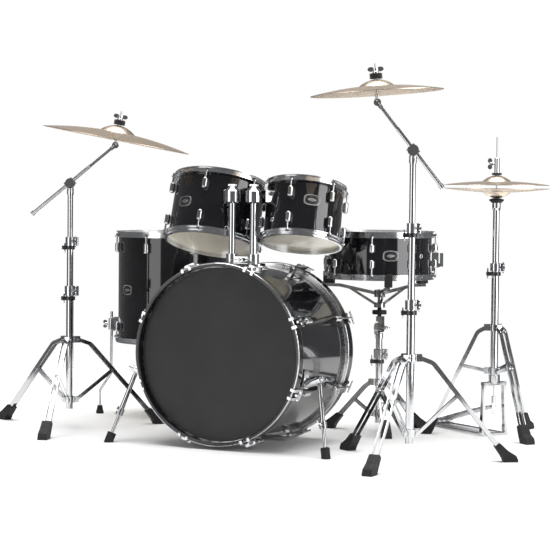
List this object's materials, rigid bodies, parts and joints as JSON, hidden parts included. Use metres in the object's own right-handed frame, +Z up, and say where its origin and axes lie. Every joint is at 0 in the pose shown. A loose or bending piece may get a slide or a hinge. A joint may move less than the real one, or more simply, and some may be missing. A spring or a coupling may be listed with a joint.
{
  "type": "acoustic drum kit",
  "caption": "Black acoustic drum kit with bass drum, rack toms, floor tom, snare on a basket stand, boom cymbal stands and a pedal hi-hat, chrome hardware.",
  "frame": {"origin": "on the floor, at the middle of the kit's outline in plan", "axes": "+Z up, -Y towards the audience, the drummer sits at +Y, +X to the audience's right"},
  "size_m": [1.9953, 1.3232, 1.2203],
  "materials": {
    "lacquered_wood": "gloss black lacquer",
    "drum_head": "coated film",
    "chrome": "polished",
    "cymbal_bronze": "lathed, brilliant",
    "black_rubber": "matte",
    "steel_wire": "plain"
  },
  "bodies": {
    "kit": {"bass_shell": "lacquered_wood", "bass_hoops": "lacquered_wood", "bass_heads": "drum_head", "bass_lugs": "chrome", "bass_claws": "chrome", "bass_tension_rods": "chrome", "spur_brackets": "chrome", "tom_holder_base": "chrome", "floor_tom_shell": "lacquered_wood", "floor_tom_hoops": "chrome", "floor_tom_heads": "drum_head", "floor_tom_lugs": "chrome", "floor_tom_leg_brackets": "chrome", "stand_base_tubes": "chrome", "stand_legs": "chrome", "stand_braces": "chrome", "stand_collars": "chrome", "stand_feet": "black_rubber", "hihat_frame": "chrome"},
    "left_spur": {"left_spur": "chrome"},
    "right_spur": {"right_spur": "chrome"},
    "floor_tom_legs": {"floor_tom_legs": "chrome"},
    "left_tom_post": {"left_tom_post": "chrome"},
    "left_tom_arm": {"left_tom_arm": "chrome"},
    "left_tom": {"left_tom_shell": "lacquered_wood", "left_tom_hoops": "chrome", "left_tom_heads": "drum_head", "left_tom_lugs": "chrome"},
    "right_tom_post": {"right_tom_post": "chrome"},
    "right_tom_arm": {"right_tom_arm": "chrome"},
    "right_tom": {"right_tom_shell": "lacquered_wood", "right_tom_hoops": "chrome", "right_tom_heads": "drum_head", "right_tom_lugs": "chrome"},
    "left_mid": {"left_stand_mid_tube": "chrome"},
    "left_upper": {"left_stand_upper_tube": "chrome"},
    "left_boom": {"left_boom": "chrome"},
    "left_tilter": {"left_tilter": "chrome"},
    "ride": {"ride_cymbal": "cymbal_bronze"},
    "right_mid": {"right_stand_mid_tube": "chrome"},
    "right_upper": {"right_stand_upper_tube": "chrome"},
    "right_boom": {"right_boom": "chrome"},
    "right_tilter": {"right_tilter": "chrome"},
    "crash": {"crash_cymbal": "cymbal_bronze"},
    "snare_upper": {"snare_stand_upper": "chrome"},
    "snare": {"snare_basket": "chrome", "snare_grips": "black_rubber", "snare_shell": "lacquered_wood", "snare_hoops": "chrome", "snare_heads": "drum_head", "snare_lugs": "chrome", "snare_strainer": "chrome"},
    "snare_lever": {"snare_lever": "chrome"},
    "snare_wires": {"snare_wires": "steel_wire"},
    "hihat_upper": {"hihat_upper_tube": "chrome", "hihat_bottom_cymbal": "cymbal_bronze"},
    "hihat_footboard": {"hihat_footboard": "chrome"},
    "hihat_rod": {"hihat_rod": "chrome"},
    "hihat_clutch": {"hihat_clutch": "chrome", "hihat_top_cymbal": "cymbal_bronze"}
  },
  "joints": [
    {"name": "right_spur_fold", "type": "hinge", "parent": "kit", "child": "right_spur", "pos_m": [0.385, -0.309, 0.235], "axis": [0.9679, 0, 0.2512], "range_deg": [0, 30]},
    {"name": "left_spur_fold", "type": "hinge", "parent": "kit", "child": "left_spur", "pos_m": [-0.275, -0.309, 0.235], "axis": [0.9679, 0, -0.2512], "range_deg": [0, 105]},
    {"name": "floor_tom_legs_slide", "type": "slide", "parent": "kit", "child": "floor_tom_legs", "axis": [0, 0, 1], "range_m": [0, 0.12]},
    {"name": "left_tom_post_slide", "type": "slide", "parent": "kit", "child": "left_tom_post", "axis": [0, 0, 1], "range_m": [-0.01, 0.04]},
    {"name": "left_tom_tilt", "type": "hinge", "parent": "left_tom_post", "child": "left_tom_arm", "pos_m": [0.016, -0.198, 0.81], "axis": [1, 0, 0], "range_deg": [-2, 15]},
    {"name": "left_tom_arm_slide", "type": "slide", "parent": "left_tom_arm", "child": "left_tom", "axis": [-0.6293, 0.7771, 0], "range_m": [0, 0.012]},
    {"name": "right_tom_post_slide", "type": "slide", "parent": "kit", "child": "right_tom_post", "axis": [0, 0, 1], "range_m": [-0.015, 0.04]},
    {"name": "right_tom_tilt", "type": "hinge", "parent": "right_tom_post", "child": "right_tom_arm", "pos_m": [0.094, -0.198, 0.81], "axis": [1, 0, 0], "range_deg": [-3, 15]},
    {"name": "right_tom_arm_slide", "type": "slide", "parent": "right_tom_arm", "child": "right_tom", "axis": [0.6143, 0.7891, 0], "range_m": [0, 0.012]},
    {"name": "left_stand_mid_slide", "type": "slide", "parent": "kit", "child": "left_mid", "axis": [0, 0, 1], "range_m": [0, 0.12]},
    {"name": "left_stand_upper_slide", "type": "slide", "parent": "left_mid", "child": "left_upper", "axis": [0, 0, 1], "range_m": [0, 0.11]},
    {"name": "left_boom_tilt", "type": "hinge", "parent": "left_upper", "child": "left_boom", "pos_m": [-0.651, -0.122, 0.849], "axis": [0.4305, -0.9026, 0], "range_deg": [-3, 30]},
    {"name": "left_cymbal_tilt", "type": "hinge", "parent": "left_boom", "child": "left_tilter", "pos_m": [-0.49677, -0.08057, 0.98077], "axis": [0.4305, -0.9026, 0], "range_deg": [-5, 30]},
    {"name": "ride_swing", "type": "hinge", "parent": "left_tilter", "child": "ride", "pos_m": [-0.48551, -0.0752, 1.04741], "axis": [0.4305, -0.9026, 0], "range_deg": [-7, 7]},
    {"name": "right_stand_mid_slide", "type": "slide", "parent": "kit", "child": "right_mid", "axis": [0, 0, 1], "range_m": [-0.15, 0.13]},
    {"name": "right_stand_upper_slide", "type": "slide", "parent": "right_mid", "child": "right_upper", "axis": [0, 0, 1], "range_m": [-0.06, 0.12]},
    {"name": "right_boom_tilt", "type": "hinge", "parent": "right_upper", "child": "right_boom", "pos_m": [0.697, -0.324, 0.959], "axis": [0.4305, -0.9026, 0], "range_deg": [-25, 20]},
    {"name": "right_cymbal_tilt", "type": "hinge", "parent": "right_boom", "child": "right_tilter", "pos_m": [0.60835, -0.39841, 1.10242], "axis": [0.4305, -0.9026, 0], "range_deg": [-25, 25]},
    {"name": "crash_swing", "type": "hinge", "parent": "right_tilter", "child": "crash", "pos_m": [0.60408, -0.40045, 1.17005], "axis": [0.4305, -0.9026, 0], "range_deg": [-7, 7]},
    {"name": "snare_stand_height", "type": "slide", "parent": "kit", "child": "snare_upper", "axis": [0, 0, 1], "range_m": [-0.03, 0.08]},
    {"name": "snare_basket_tilt", "type": "hinge", "parent": "snare_upper", "child": "snare", "pos_m": [0.3304, 0.3151, 0.36], "axis": [-1, 0, 0], "range_deg": [-3, 20]},
    {"name": "snare_throw_off", "type": "hinge", "parent": "snare", "child": "snare_lever", "pos_m": [0.4968, 0.43823, 0.576], "axis": [-0.5948, 0.8039, 0], "range_deg": [0, 80]},
    {"name": "snare_wires_drop", "type": "slide", "parent": "snare", "child": "snare_wires", "axis": [0, 0, -1], "range_m": [0, 0.0035]},
    {"name": "hihat_height", "type": "slide", "parent": "kit", "child": "hihat_upper", "axis": [0, 0, 1], "range_m": [-0.1, 0.05]},
    {"name": "hihat_pedal", "type": "hinge", "parent": "kit", "child": "hihat_footboard", "pos_m": [0.4689, 0.57647, 0.014], "axis": [0.5602, 0.8283, 0], "range_deg": [0, 1.8], "stiffness_Nm_per_rad": 60, "springref_deg": -9.17},
    {"name": "hihat_rod_pull", "type": "slide", "parent": "kit", "child": "hihat_rod", "axis": [0, 0, -1], "range_m": [0, 0.0096]},
    {"name": "hihat_clutch_slide", "type": "slide", "parent": "hihat_rod", "child": "hihat_clutch", "axis": [0, 0, 1], "range_m": [-0.1, 0.05]}
  ],
  "couplings": [
    {"joint": "snare_throw_off", "follows": "snare_wires_drop", "rad_per_m": 398.9},
    {"joint": "hihat_rod_pull", "follows": "hihat_pedal", "m_per_rad": 0.3},
    {"joint": "hihat_clutch_slide", "follows": "hihat_height", "ratio": 1}
  ]
}
